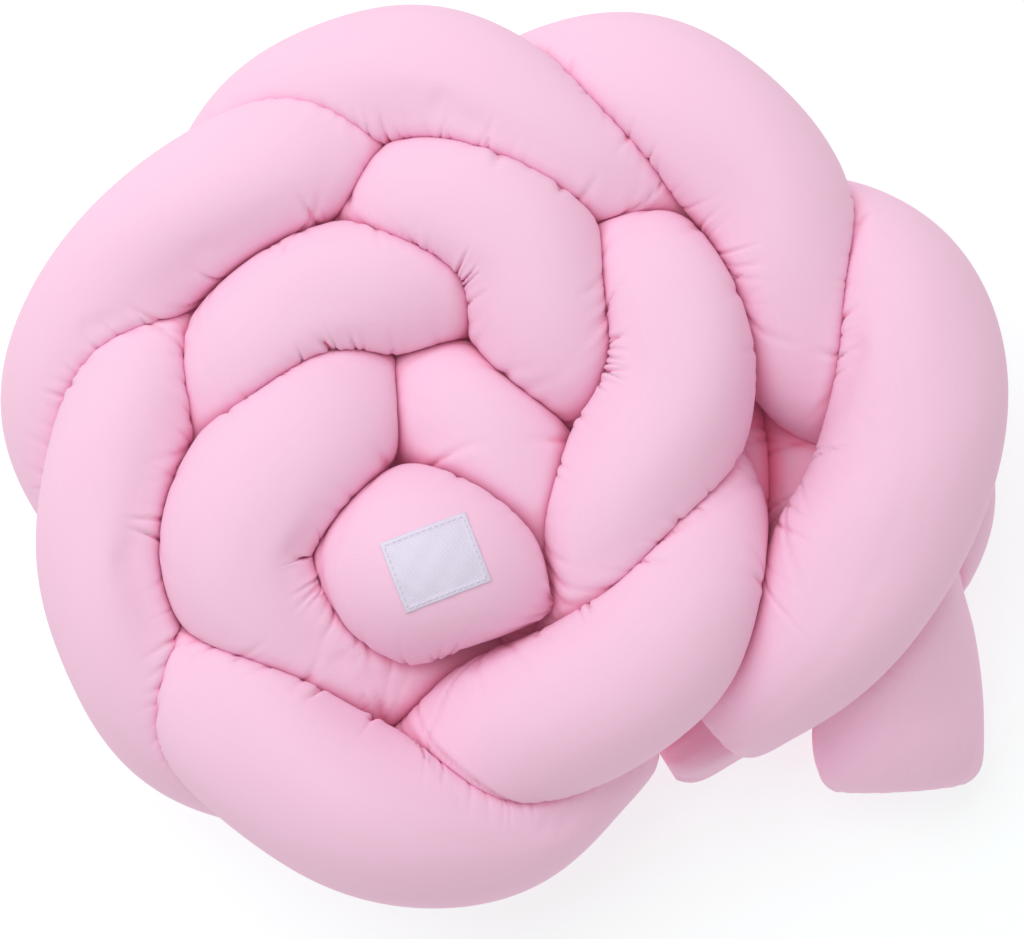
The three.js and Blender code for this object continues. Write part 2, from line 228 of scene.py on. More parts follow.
# %% Routes
CHORD_POWER = 0.75  # spaces the knots, between even and by chord
ROUTE_SAMPLES = 3000
ROUTE_STEP = 2 * MM
ROUNDING = 18 * MM
GUIDE_STEP = 6 * MM
SEAM_SHARE = 0.06
GATHERED_STRAND = 0
GATHERED_LENGTH = 80 * MM
GATHER_POWERS = (1.5, 0.8)  # how late the gathered start narrows, and how full it stays


def evenly(length, step):
    """Even lengths from 0 to length, no further apart than step."""
    return np.linspace(0.0, length, int(np.ceil(length / step)) + 1)


def length_along(rows):
    """The length from the first row to each row."""
    steps = np.linalg.norm(np.diff(rows[:, :3], axis=0), axis=1)
    return np.concatenate([[0.0], np.cumsum(steps)])


def rounded(rows, sigma):
    """Rows at even steps of ROUTE_STEP, each replaced by a mean of its neighbours that weighs
    them by a bell curve of width sigma. Past the ends the rows are mirrored through the end
    row, so the ends stay where they are."""
    half = int(3 * sigma / ROUTE_STEP)
    before = 2 * rows[0] - rows[half:0:-1]
    after = 2 * rows[-1] - rows[-2:-half - 2:-1]
    padded = np.concatenate([before, rows, after])
    bell = np.exp(-0.5 * (np.arange(-half, half + 1) * ROUTE_STEP / sigma) ** 2)
    bell /= bell.sum()
    return np.stack([np.convolve(column, bell, mode="valid") for column in padded.T], axis=-1)


def strand_route(strand):
    """A strand's route: rows of x, y, z and radius with the length along it. The curve through
    the knots is cut into even steps and rounded, because a stuffed tube doesn't kink."""
    knots = strand_knots(strand)
    chords = np.linalg.norm(np.diff(knots[:, :3], axis=0), axis=1)
    marks = np.concatenate([[0.0], np.cumsum((chords / MM) ** CHORD_POWER)])
    curve = smooth_curve(marks, knots, np.linspace(0.0, marks[-1], ROUTE_SAMPLES + 1))
    along = length_along(curve)
    steps = evenly(along[-1], ROUTE_STEP)
    even = np.stack([np.interp(steps, along, column) for column in curve.T], axis=-1)
    rows = rounded(even, ROUNDING)
    along = length_along(rows)
    if strand == GATHERED_STRAND:
        gathering = np.clip(1 - along / GATHERED_LENGTH, 0.0, 1.0)
        late, full = GATHER_POWERS
        rows[:, 3] *= SEAM_SHARE + (1 - SEAM_SHARE) * (1 - gathering**late) ** full
    return {"strand": strand, "rows": rows, "along": along, "length": along[-1]}


def route_at(route, along):
    """Place and radius at lengths along a route."""
    columns = [np.interp(along, route["along"], column) for column in route["rows"].T]
    found = np.stack(columns, axis=-1)
    return found[:, :3], found[:, 3]


ROUTES = [strand_route(strand) for strand in STRANDS]
print("strand lengths, m:", [round(route["length"], 2) for route in ROUTES])

# %% Stations
WHOLE_STEP = 0.99  # of GUIDE_STEP; nearer to an end than this, a station has no bend


def unit(vectors):
    """Vectors scaled to length 1."""
    return vectors / np.linalg.norm(vectors, axis=-1, keepdims=True)


def stations(route, along):
    """At each length: the place, the free radius, the ring's level axis, its upward axis, and
    the bend, a vector to the inside of the curve as long as 1 over its radius."""
    back = np.maximum(along - GUIDE_STEP, 0.0)
    ahead = np.minimum(along + GUIDE_STEP, route["length"])
    point, radius = route_at(route, along)
    arriving = point - route_at(route, back)[0]
    leaving = route_at(route, ahead)[0] - point
    forward = unit(arriving + leaving)
    side = unit(np.cross(forward, [0.0, 0.0, 1.0]))
    whole = np.minimum(along - back, ahead - along) > GUIDE_STEP * WHOLE_STEP
    bend = np.zeros_like(point)
    bend[whole] = (unit(leaving[whole]) - unit(arriving[whole])) / GUIDE_STEP
    return {"strand": route["strand"], "along": along, "point": point, "radius": radius,
            "side": side, "up": np.cross(side, forward), "bend": bend}


def coarse_route(route):
    """Places and radii along a route, coarse enough to measure the distance to all of them."""
    along = evenly(route["length"], GUIDE_STEP)
    point, radius = route_at(route, along)
    return {"along": along, "point": point, "radius": radius}


GUIDES = [coarse_route(route) for route in ROUTES]
print("guide points:", [len(guide["along"]) for guide in GUIDES])

# %% [markdown]
# Cushions that press on each other
#
# A free tube of stuffed cotton is round. Where two tubes press on each other, both flatten
# against one shared face, which lies where the distances to the two routes differ as the two
# radii do. The reach of a section in each direction is the least of its free radius, its
# distance to every such face, and the room that its own bend leaves, with the corner between
# them rounded as tight cloth rounds it. On the floor the tube is simply flat.

# %% Pressed sections
TOUCHING_GAP = -1.0 * MM  # the covers press into each other
SQUASH_SHARPNESS = 14
OWN_TURN_LENGTH = 150 * MM
LEAST_REACH = 2 * MM
BEND_SHARE = 0.9
LEAST_BEND = 1e-6
ROWS_AT_ONCE = 40  # rings worked out at a time, to keep the arrays small


def reach_to_strand(station, directions, strand):
    """How far each direction of each ring may go before it meets one strand. With D the vector
    to a point of the other route and g the difference of the radii plus the gap, a point at
    reach r lies on the shared face where r = (D.D - g.g) / (2 (g + direction.D))."""
    guide = GUIDES[strand]
    to_guide = guide["point"][None] - station["point"][:, None]
    lead = guide["radius"][None] - station["radius"][:, None] + TOUCHING_GAP
    distance = (to_guide**2).sum(-1)
    closing = lead[:, None] + np.einsum("nmc,nqc->nmq", directions, to_guide)
    room = (distance - lead**2)[:, None]
    meets = closing > TINY
    if strand == station["strand"]:
        apart = np.abs(guide["along"][None] - station["along"][:, None]) > OWN_TURN_LENGTH
        meets &= apart[:, None]
    reach = np.where(meets, room / (2 * np.where(meets, closing, 1.0)), np.inf).min(-1)
    return np.maximum(reach, LEAST_REACH)


def ring_directions(station, angles):
    """Unit vectors round each ring; 90 degrees is its upper side."""
    level = np.cos(angles)[None, :, None] * station["side"][:, None]
    upward = np.sin(angles)[None, :, None] * station["up"][:, None]
    return level + upward


def section_reaches(route, along, angles):
    """The pressed reach of every ring in every direction, and two measures of it: pressing, the
    free radius over the distance to the nearest shared face, and gathering, the share by which
    the bend shortens the cloth there."""
    whole = stations(route, along)
    reaches = np.empty((len(along), len(angles)))
    pressing = np.empty_like(reaches)
    gathering = np.empty_like(reaches)
    for first in range(0, len(along), ROWS_AT_ONCE):
        rows = slice(first, first + ROWS_AT_ONCE)
        station = {key: value if key == "strand" else value[rows] for key, value in whole.items()}
        directions = ring_directions(station, angles)
        free = np.broadcast_to(station["radius"][:, None], directions.shape[:2])
        faces = [reach_to_strand(station, directions, strand) for strand in STRANDS]
        inward = np.einsum("nmc,nc->nm", directions, station["bend"])
        room = BEND_SHARE / np.maximum(inward, LEAST_BEND)
        bend_room = np.where(inward > LEAST_BEND, room, np.inf)
        crowding = sum(reach ** -SQUASH_SHARPNESS for reach in (free, *faces, bend_room))
        reaches[rows] = crowding ** (-1 / SQUASH_SHARPNESS)
        pressing[rows] = free / np.minimum.reduce(faces)
        gathering[rows] = inward * reaches[rows]
    return reaches, pressing, gathering


# %% Closed ends
END_LENGTH = 60 * MM
END_POWER = 2.5
SEAM_NARROWING = 0.28
CORNER_POWER = 8


def skin_points(route, along, angles, reach):
    """Places on the skin for reaches from the route. Near a closed end the offset from the
    route is flattened: where a straight seam shuts the tube, its thickness falls as a quarter
    oval, and its width late and by SEAM_NARROWING. The start of the strand that holds the label
    is gathered instead, and its route narrows there. Nothing goes below the floor."""
    station = stations(route, along)
    from_end = np.minimum(along, route["length"] - along)
    if route["strand"] == GATHERED_STRAND:
        from_end = route["length"] - along
    closing = np.clip(1 - from_end / END_LENGTH, 0.0, 1.0)[:, None]
    thickness = SEAM_SHARE + (1 - SEAM_SHARE) * np.sqrt(1 - closing**END_POWER)
    width = 1 - SEAM_NARROWING * closing**CORNER_POWER
    level = (np.cos(angles) * width * reach)[..., None] * station["side"][:, None]
    upward = (np.sin(angles) * thickness * reach)[..., None] * station["up"][:, None]
    points = station["point"][:, None] + level + upward
    points[..., 2] = np.maximum(points[..., 2], 0.0)
    return points


# %% [markdown]
# Filling that pushes, cloth that gives
#
# A stuffed tube swells and pulls tight where nothing holds it. Cloth simulation gives this for
# little work: the pressed tube becomes a cloth with air pressure inside and without gravity.
# The simulation runs on a coarse tube, and only its movement is carried over to the fine one.
# The movement is capped, and it fades out where a neighbour presses, because the neighbour
# holds the cloth. The slack on the inner side of the bends comes later, with the puckers.

# %% Grids round a strand
PRESSED_STEP = 6 * MM


def smooth_step(low, high, value):
    """0 below low, 1 above high, and an even S between them."""
    f = np.clip((value - low) / (high - low), 0.0, 1.0)
    return f * f * (3 - 2 * f)


def pressed_grid(route, step, sides):
    """The angles, the lengths along, and the reach, pressing and gathering at each of them. The
    pressing is smooth, so it is worked out every PRESSED_STEP and read between by a curve."""
    angles = np.arange(sides) * 2 * np.pi / sides
    coarse = evenly(route["length"], PRESSED_STEP)
    measures = np.stack(section_reaches(route, coarse, angles), axis=-1)
    along = evenly(route["length"], step)
    return angles, along, *np.moveaxis(smooth_curve(coarse, measures, along), -1, 0)


def read_round(grid, sides):
    """A grid that closes round its columns, read at another number of even angles."""
    columns = grid.shape[1]
    wide = np.concatenate([grid[:, -2:], grid, grid[:, :3]], axis=1)
    at = np.arange(sides) * columns / sides
    read = smooth_curve(np.arange(-2, columns + 3), np.moveaxis(wide, 1, 0), at)
    return np.moveaxis(read, 0, 1)


# %% Meshes from arrays
def tube_faces(rings, sides):
    """Quads of a tube of rings, and a fan over each end, all facing outwards."""
    here = np.arange(rings - 1)[:, None] * sides + np.arange(sides)[None]
    there = np.arange(rings - 1)[:, None] * sides + (np.arange(sides) + 1) % sides
    quads = np.stack([here, here + sides, there + sides, there], axis=-1).reshape(-1, 4)
    around = np.arange(sides)
    following = (around + 1) % sides
    start_hub = rings * sides
    last = (rings - 1) * sides
    start_fan = np.stack([np.full(sides, start_hub), around, following], axis=-1)
    end_fan = np.stack([np.full(sides, start_hub + 1), last + following, last + around], axis=-1)
    return quads, np.concatenate([start_fan, end_fan])


def mesh_from_arrays(name, vertices, quads, triangles):
    """A smooth mesh whose vertices, quads and triangles come from whole arrays."""
    mesh = bpy.data.meshes.new(name)
    mesh.vertices.add(len(vertices))
    mesh.vertices.foreach_set("co", np.asarray(vertices, np.float32).ravel())
    corners = np.concatenate([quads.ravel(), triangles.ravel()]).astype(np.int32)
    sizes = np.concatenate([np.full(len(quads), 4), np.full(len(triangles), 3)])
    starts = np.concatenate([[0], np.cumsum(sizes)[:-1]]).astype(np.int32)
    mesh.loops.add(len(corners))
    mesh.loops.foreach_set("vertex_index", corners)
    mesh.polygons.add(len(sizes))
    mesh.polygons.foreach_set("loop_start", starts)
    mesh.update(calc_edges=True)
    mesh.polygons.foreach_set("use_smooth", np.ones(len(sizes), bool))
    mesh.validate()
    return mesh


# %% Simulate the filling
SIMULATION_STEP = 8 * MM
SIMULATION_SIDES = 40
SIMULATION_FRAMES = 14
MOVEMENT_CAP = 5 * MM
HELD_WHERE_PRESSED = (0.6, 0.98)
CLOTH_SETTINGS = {
    "quality": 4,
    "mass": 0.2,
    "tension_stiffness": 20.0,
    "compression_stiffness": 20.0,
    "shear_stiffness": 5.0,
    "bending_stiffness": 0.05,
    "air_damping": 2.0,
    "use_pressure": True,
    "uniform_pressure_force": 4.0,
}


def set_up_cloth(piece):
    """Cloth with air pressure inside, and neither gravity nor collisions."""
    modifier = piece.modifiers.new("cloth", "CLOTH")
    for name, value in CLOTH_SETTINGS.items():
        setattr(modifier.settings, name, value)
    modifier.settings.effector_weights.gravity = 0.0
    modifier.collision_settings.use_collision = False
    modifier.point_cache.frame_end = SIMULATION_FRAMES


def settled_places(name, vertices, faces):
    """Where the vertices of a tube are after SIMULATION_FRAMES as cloth. The tube is taken out
    of the scene again."""
    mesh = mesh_from_arrays(name, vertices, *faces)
    piece = add_object(name, mesh)
    set_up_cloth(piece)
    for frame_number in range(1, SIMULATION_FRAMES + 1):
        bpy.context.scene.frame_set(frame_number)
    settled = piece.evaluated_get(bpy.context.evaluated_depsgraph_get()).data
    places = np.empty(len(vertices) * 3)
    settled.vertices.foreach_get("co", places)
    bpy.context.scene.frame_set(1)
    bpy.data.objects.remove(piece)
    bpy.data.meshes.remove(mesh)
    return places.reshape(-1, 3)


def filled_movement(route):
    """How far the filling moves the skin of the coarse tube: rows along the strand, columns
    round it. The movement is capped, and faded out where a neighbour presses and towards the
    closed ends."""
    grid = pressed_grid(route, SIMULATION_STEP, SIMULATION_SIDES)
    angles, along, reach, pressing = grid[:4]
    start = skin_points(route, along, angles, reach)
    hubs = route_at(route, np.array([0.0, route["length"]]))[0]
    vertices = np.concatenate([start.reshape(-1, 3), hubs])
    places = settled_places("filling", vertices, tube_faces(*reach.shape))
    movement = places[:-2].reshape(start.shape) - start
    size = np.linalg.norm(movement, axis=-1, keepdims=True)
    movement *= np.minimum(1.0, MOVEMENT_CAP / np.maximum(size, TINY))
    from_end = np.minimum(along, route["length"] - along)
    held = smooth_step(*HELD_WHERE_PRESSED, pressing)
    held = held + (1 - smooth_step(0.0, END_LENGTH, from_end))[:, None]
    movement *= np.maximum(1 - held, 0.0)[..., None]
    most = round(float(size.max()) / MM, 1)
    print("filling pushes strand", route["strand"], "by up to", most, "mm before the cap")
    return along, movement


# %% [markdown]
# Gathers, lumps and seams
#
# Cloth that is bent has too much length on the inner side. It gathers there into short
# puckers that cross the crease, half a finger's width apart, and run out over the shoulder of
# the lobe. They are laid one by one, with random places, lengths, depths and slants. They show
# where a neighbour presses, and most where the bend also shortens the cloth. The filling adds
# slow lumps, and the tube's lengthwise seam draws a faint line. A simulated mesh fine enough
# for puckers this small would take too long, so they are added to the grid afterwards.

# %% Puckers
PUCKER_SPACING = 6.5 * MM
PUCKER_SPREAD = 0.55  # of the logarithm of the spacing
PUCKER_WIDTH = (0.9, 2.0)
PUCKER_DEPTH = 7.5 * MM
PUCKER_STRENGTH = (0.2, 1.0)
PUCKER_SHORTNESS = (0.5, 2.2)  # power of the gathering: a high one keeps it to the crease
PUCKER_SLANT = 0.3
PUCKER_WANDER = 1.2 * MM
PUCKER_WANDERS = 3  # to and fro round a strand
PUCKER_WINDOW = 60 * MM
PUCKERS_FROM_END = (60 * MM, 150 * MM)  # where puckers begin and are in full, from an end
GATHERED_START = 2.6  # how much sooner puckers begin at the gathered start than at a seam
PUCKER_BULGE = 0.35  # height of the swelling beside a valley, of the valley's depth
BULGE_WIDTH = 3  # of the valley's width
STRAIGHT_GATHERING = 0.5  # of the full gathering, where a pressed strand runs straight
GATHERS_WHERE_PRESSED = (0.5, 0.95)
GATHERS_WHERE_BENT = (-0.05, 0.35)
CLUSTER_WAVES = (31.0, 47.0, 83.0)  # radians per metre, for where puckers come in groups
CLUSTER_RANGE = (-0.7, 0.2)  # of the waves' mean, from no puckers to all of them


def gathered_share(pressing, gathering):
    """0 on a free side and 1 at a crease on the inner side of a bend."""
    bent = smooth_step(*GATHERS_WHERE_BENT, gathering)
    shortened = STRAIGHT_GATHERING + (1 - STRAIGHT_GATHERING) * bent
    return smooth_step(*GATHERS_WHERE_PRESSED, pressing) * shortened


def pucker_relief(along, angles, gathered, radius, rng):
    """Valleys that cross the strand in groups, each up to 1 deep. A valley falls off on both
    sides as an exponential, which makes its bottom a crease, with a low swelling beside it. It
    leans by its slant, wanders a little, and fades with its own power of the gathering, so that
    lengths and depths differ."""
    relief = np.zeros((len(along), len(angles)))
    round_turn = np.minimum(angles, 2 * np.pi - angles)[None] * radius
    phases = rng.uniform(0.0, 2 * np.pi, len(CLUSTER_WAVES))
    centre = 0.0
    while centre < along[-1]:
        centre += PUCKER_SPACING * rng.lognormal(0.0, PUCKER_SPREAD)
        waves = np.sin(np.array(CLUSTER_WAVES) * centre + phases)
        group = smooth_step(*CLUSTER_RANGE, waves.mean())
        width = rng.uniform(*PUCKER_WIDTH) * MM
        depth = rng.uniform(*PUCKER_STRENGTH) * group
        shortness = rng.uniform(*PUCKER_SHORTNESS)
        slant = rng.normal(0.0, PUCKER_SLANT)
        wave = rng.uniform(0.0, 2 * np.pi)
        rows = np.abs(along - centre) < PUCKER_WINDOW
        bent = centre + slant * (round_turn - np.pi * radius / 2)
        bent = bent + PUCKER_WANDER * np.sin(PUCKER_WANDERS * angles[None] + wave)
        off = np.abs(along[rows, None] - bent) / width
        valley = np.exp(-off) - PUCKER_BULGE * np.exp(-((off / BULGE_WIDTH) ** 2))
        relief[rows] -= depth * valley * gathered[rows] ** shortness
    return relief


# %% Gathers at the ends, lumps and the lengthwise seam
END_GATHER_DEPTH = 3 * MM
END_GATHER_LENGTH = 14 * MM
END_GATHER_TURNS = (11, 17, 23)
LUMP_DEPTH = 1.1 * MM
LUMP_WAVES = 60
LUMP_TURNS = 5  # a lump's waves close round the tube after fewer turns than this
LUMP_LENGTHWISE = (8.0, 70.0)  # radians per metre
SEAM_DEPTH = 0.5 * MM
SEAM_WIDTH = 1.6 * MM
SEAM_ANGLES = (3.9, 4.3, 0.9)
SEAM_DRIFT = 1.4  # radians that the seam wanders round a strand
SEAM_SWINGS = 2.3  # half waves of that over the strand's length


def end_relief(route, along, angles, rng):
    """Small gathers that run into a closed seam: waves round the tube that fade within
    END_GATHER_LENGTH of the end."""
    from_end = np.minimum(along, route["length"] - along)[:, None]
    waves = np.zeros(len(angles))
    for turns in END_GATHER_TURNS:
        waves += np.sin(turns * angles + rng.uniform(0.0, 2 * np.pi)) / len(END_GATHER_TURNS)
    return waves[None] * np.exp(-from_end / END_GATHER_LENGTH)


def lump_relief(along, angles, rng):
    """Slow lumps of filling: a sum of waves of random direction that close round the tube."""
    relief = np.zeros((len(along), len(angles)))
    for _ in range(LUMP_WAVES):
        turns = rng.integers(0, LUMP_TURNS)
        lengthwise = rng.uniform(*LUMP_LENGTHWISE)
        phase = rng.uniform(0.0, 2 * np.pi)
        relief += np.cos(lengthwise * along[:, None] + turns * angles[None] + phase)
    return relief / np.sqrt(LUMP_WAVES)


def seam_relief(along, angles, radius, start_angle, length):
    """A narrow valley along the strand that wanders slowly round it."""
    seam = start_angle + SEAM_DRIFT * np.sin(SEAM_SWINGS * np.pi * along / length)
    off = (angles[None] - seam[:, None] + np.pi) % (2 * np.pi) - np.pi
    return -np.exp(-((off * radius / SEAM_WIDTH) ** 2))


# %% [markdown]
# The three covers
#
# Each strand is one grid: rings along it, points round it. The steps along it are the finer
# ones, because the puckers run round the tube. The grid keeps its own flat coordinates in
# metres, length along the strand and width round it, because the weave must run with the cloth
# and not through it.

# %% Strand covers
RING_STEP = 1.25 * MM
SIDES = 80
COVER_NAMES = ("labelled_strand_cover", "wrapping_strand_cover", "closing_strand_cover")
NODE_NAMES = ("labelled_strand", "wrapping_strand", "closing_strand")
SEED = 7
MEAN_RADIUS = LOWER_RADIUS * MM
LUMPY_WHERE_PRESSED = (0.7, 1.0)  # from full lumps to none
NEAR_WHERE_PRESSED = (0.45, 1.0)


def cover_points(route):
    """Places of a cover's grid, lengths along it, angles round it, how near each point is to
    the crease beside it, and how deep it lies in a pucker. The skin is the pressed skin plus
    the puckers, the lumps, the seam and the gathers at the ends, flattened towards the closed
    ends, moved by the filling and kept above the floor."""
    rng = np.random.default_rng(SEED + route["strand"])
    angles, along, reach, pressing, gathering = pressed_grid(route, RING_STEP, SIDES)
    from_start = along * (GATHERED_START if route["strand"] == GATHERED_STRAND else 1.0)
    from_end = np.minimum(from_start, route["length"] - along)[:, None]
    gathered = gathered_share(pressing, gathering) * smooth_step(*PUCKERS_FROM_END, from_end)
    puckers = pucker_relief(along, angles, gathered, MEAN_RADIUS, rng)
    reach = reach + PUCKER_DEPTH * puckers
    free = 1 - smooth_step(*LUMPY_WHERE_PRESSED, pressing)
    reach = reach + free * LUMP_DEPTH * lump_relief(along, angles, rng)
    start_angle = SEAM_ANGLES[route["strand"]]
    reach = reach + SEAM_DEPTH * seam_relief(along, angles, MEAN_RADIUS, start_angle, along[-1])
    reach = reach + END_GATHER_DEPTH * end_relief(route, along, angles, rng)
    points = skin_points(route, along, angles, reach)
    coarse, movement = filled_movement(route)
    points = points + read_round(smooth_curve(coarse, movement, along), SIDES)
    points[..., 2] = np.maximum(points[..., 2], 0.0)
    near = smooth_step(*NEAR_WHERE_PRESSED, pressing)
    return points, along, angles, near, np.clip(-puckers, 0.0, 1.0)


skins = [cover_points(route) for route in ROUTES]
print("rings:", [len(skin[1]) for skin in skins], "of", SIDES)


# %% Cloth maps and pieces
def corner_vertices(mesh):
    """The vertex at each corner of each face."""
    found = np.empty(len(mesh.loops), np.int32)
    mesh.loops.foreach_get("vertex_index", found)
    return found


def add_cloth_map(mesh, flat):
    """The UV map named cloth, from a flat place in metres for each corner."""
    layer = mesh.uv_layers.new(name="cloth")
    layer.uv.foreach_set("vector", flat.astype(np.float32).ravel())


def cover_map(mesh, along, round_width):
    """Metres along the strand and metres round it at each corner. The last quad of each ring
    is carried on past the seam instead of back to 0."""
    sides = len(round_width)
    vertices = corner_vertices(mesh)
    ring = np.minimum(vertices // sides, len(along) - 1)
    flat = np.stack([along[ring], round_width[vertices % sides]], axis=-1)
    quad = np.arange((len(along) - 1) * sides * 4).reshape(-1, 4)
    is_last = (quad[:, 0] // 4) % sides == sides - 1
    flat[quad[is_last][:, 2:].ravel(), 1] = round_width[-1] + round_width[1]
    return flat


def add_piece(name, mesh, material):
    """A new object for a mesh, at the origin, with its material, attached to the body named root.
    """
    mesh.materials.append(material)
    piece = add_object(name, mesh)
    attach(piece, "root")
    return piece


# %% [markdown]
# How deep each point lies
#
# Light that reaches a crease has bounced from pink to pink, so the cloth looks redder there.
# The renderer follows a few bounces only, so the colour of the cloth is deepened a little by
# how much sky each point sees. A map of the roll's heights from above is enough to tell.

# %% Openness to the sky
MAP_CELL = 3 * MM
MAP_HALF = 0.36
SKY_DIRECTIONS = 8
SKY_DISTANCES = np.array([4, 8, 14, 22, 34, 50]) * MM
# Painted shade: pucker valleys are painted darker, on top of the crease shade.
PUCKER_PAINTED_SHADE = 0.9
HOLLOW_DEPTH = (45 * MM, 75 * MM)  # mean rise all round, from a narrow crease to a deep hollow
CREASE_SHARE = 0.65  # of a hollow's depth that counts in a narrow crease
OVERHANG = (30 * MM, 75 * MM)  # depth below the cell's highest point, from open to roofed over
OVERHANG_EASING = 0.6  # share of the depth that a roofed point loses
BLUR_ROUNDS = 12
BLUR_STRIDE = 3


def map_cells(plan, count):
    """Column and row of the cell that holds each place in the plan, or of the nearest cell."""
    return np.clip((plan + MAP_HALF) / MAP_CELL, 0, count - 1).astype(int).T


def height_map(all_points):
    """The greatest height of any point above each square cell of the plan."""
    count = int(2 * MAP_HALF / MAP_CELL)
    heights = np.zeros((count, count))
    column, row = map_cells(all_points[:, :2], count)
    np.maximum.at(heights, (row, column), all_points[:, 2])
    return heights


def hidden_share(points, heights):
    """0 under an open sky and 1 in a deep crease: the mean, over all directions, of the sine
    of the angle at which the highest thing nearby stands. It counts in full only in a hollow
    with high walls all round. A point far below another lobe is out of this view and lit from
    the side, so its share is eased."""
    hidden = np.zeros(len(points))
    walls = np.zeros(len(points))
    for turn in np.arange(SKY_DIRECTIONS) * 2 * np.pi / SKY_DIRECTIONS:
        steepest = np.zeros(len(points))
        highest = np.zeros(len(points))
        for distance in SKY_DISTANCES:
            shifted = points[:, :2] + distance * np.array([np.cos(turn), np.sin(turn)])
            column, row = map_cells(shifted, len(heights))
            rise = np.maximum(heights[row, column] - points[:, 2], 0.0)
            steepest = np.maximum(steepest, rise / np.hypot(rise, distance))
            highest = np.maximum(highest, rise)
        hidden += steepest / SKY_DIRECTIONS
        walls += highest / SKY_DIRECTIONS
    column, row = map_cells(points[:, :2], len(heights))
    roofed = smooth_step(*OVERHANG, heights[row, column] - points[:, 2])
    counted = CREASE_SHARE + (1 - CREASE_SHARE) * smooth_step(*HOLLOW_DEPTH, walls)
    return hidden * counted * (1 - OVERHANG_EASING * roofed)


def blurred(grid):
    """A grid that closes round its columns, smoothed: BLUR_ROUNDS times the mean of each value
    and of the four values BLUR_STRIDE rows and one column away."""
    for _ in range(BLUR_ROUNDS):
        wide = np.pad(grid, ((BLUR_STRIDE, BLUR_STRIDE), (0, 0)), mode="edge")
        rows = wide[2 * BLUR_STRIDE:] + wide[:-2 * BLUR_STRIDE]
        columns = np.roll(grid, 1, axis=1) + np.roll(grid, -1, axis=1)
        grid = (grid + rows + columns) / 5
    return grid


heights = height_map(np.concatenate([skin[0].reshape(-1, 3) for skin in skins]))
painted_shades = []
for points, along, angles, near, puckers in skins:
    hidden = hidden_share(points.reshape(-1, 3), heights).reshape(near.shape)
    # Painted shade of each point: crease shade from the sky it sees, plus darker pucker valleys.
    painted_shades.append((near * blurred(hidden) + PUCKER_PAINTED_SHADE * puckers).ravel())
print("mean hidden share:", [round(float(depth.mean()), 2) for depth in painted_shades])

# %% [markdown]
# Cotton
#
# The cover is a plain, closely woven cotton in a pale cool pink. Its colour varies a little
# with the cloth's own slubs, and in the creases it is painted deeper, as painted shade for the
# light that bounces there from pink to pink. Real cloth also lets some of that light through;
# here a faint painted glow, an emission in the creases, keeps them from going black. A soft
# sheen brightens the edges that turn away. Two crossed waves make the over and under of the
# threads, half a millimetre apart.

# %% Helpers for materials
MIX_FIRST, MIX_SECOND, MIX_RESULT = 6, 7, 2  # the colour sockets of a Mix node


def new_material(name, looks):
    """A material, its node tree and its Principled shader, whose inputs take the looks."""
    material = bpy.data.materials.new(name)
    material.use_nodes = True
    shader = material.node_tree.nodes["Principled BSDF"]
    for key, value in looks.items():
        shader.inputs[key].default_value = value
    return material, material.node_tree, shader


def new_node(tree, kind, **settings):
    """A shader node with its properties and its unlinked inputs set by name."""
    node = tree.nodes.new(kind)
    for key, value in settings.items():
        if key in node.inputs:
            node.inputs[key].default_value = value
        else:
            setattr(node, key, value)
    return node


def mix_node(tree, first, second):
    """A node that mixes two colours. A colour of None is left for a link."""
    node = new_node(tree, "ShaderNodeMix", data_type="RGBA")
    for entry, colour in ((MIX_FIRST, first), (MIX_SECOND, second)):
        if colour is not None:
            node.inputs[entry].default_value = colour
    return node


def wave_node(tree, pitch, **settings):
    """Waves of a pitch in metres. At scale 1 a wave texture's pitch is a tenth of pi."""
    return new_node(tree, "ShaderNodeTexWave", Scale=np.pi / 10 / pitch, **settings)


def wire(tree, *links):
    """Links, each given as a node, its output, the next node and that one's input."""
    for source, output, target, entry in links:
        tree.links.new(source.outputs[output], target.inputs[entry])


# %% Cotton material
COTTON_COLOUR = (0.94, 0.59, 0.76, 1.0)
# Painted shade: the cloth's colour is mixed towards this deeper pink where it is hidden from the
# sky, in creases and pucker valleys.
CREASE_SHADE_COLOUR = (0.88, 0.27, 0.42, 1.0)
CREASE_SHADE_RANGE = (0.35, 0.95)  # hidden share at which the colour starts and stops to deepen
SLUB_COLOUR = (0.96, 0.62, 0.79, 1.0)
THREAD_PITCH = 0.5 * MM
# Painted light: a faint emission in the creases, driven by the same painted shade, keeps them
# from going black.
PAINTED_GLOW_IN_CREASES_COLOUR = (0.50, 0.16, 0.28, 1.0)
PAINTED_GLOW_IN_CREASES = 0.09
SLUB_SCALE = (60.0, 900.0, 1.0)  # slubs are long along the strand and thin across it
RUMPLE_SCALE = 42.0
COTTON_LOOKS = {
    "Roughness": 0.88,
    "Sheen Weight": 0.1,
    "Sheen Roughness": 0.5,
    "Sheen Tint": (1.0, 0.86, 0.93, 1.0),
    "Specular IOR Level": 0.2,
    "Emission Color": PAINTED_GLOW_IN_CREASES_COLOUR,
}


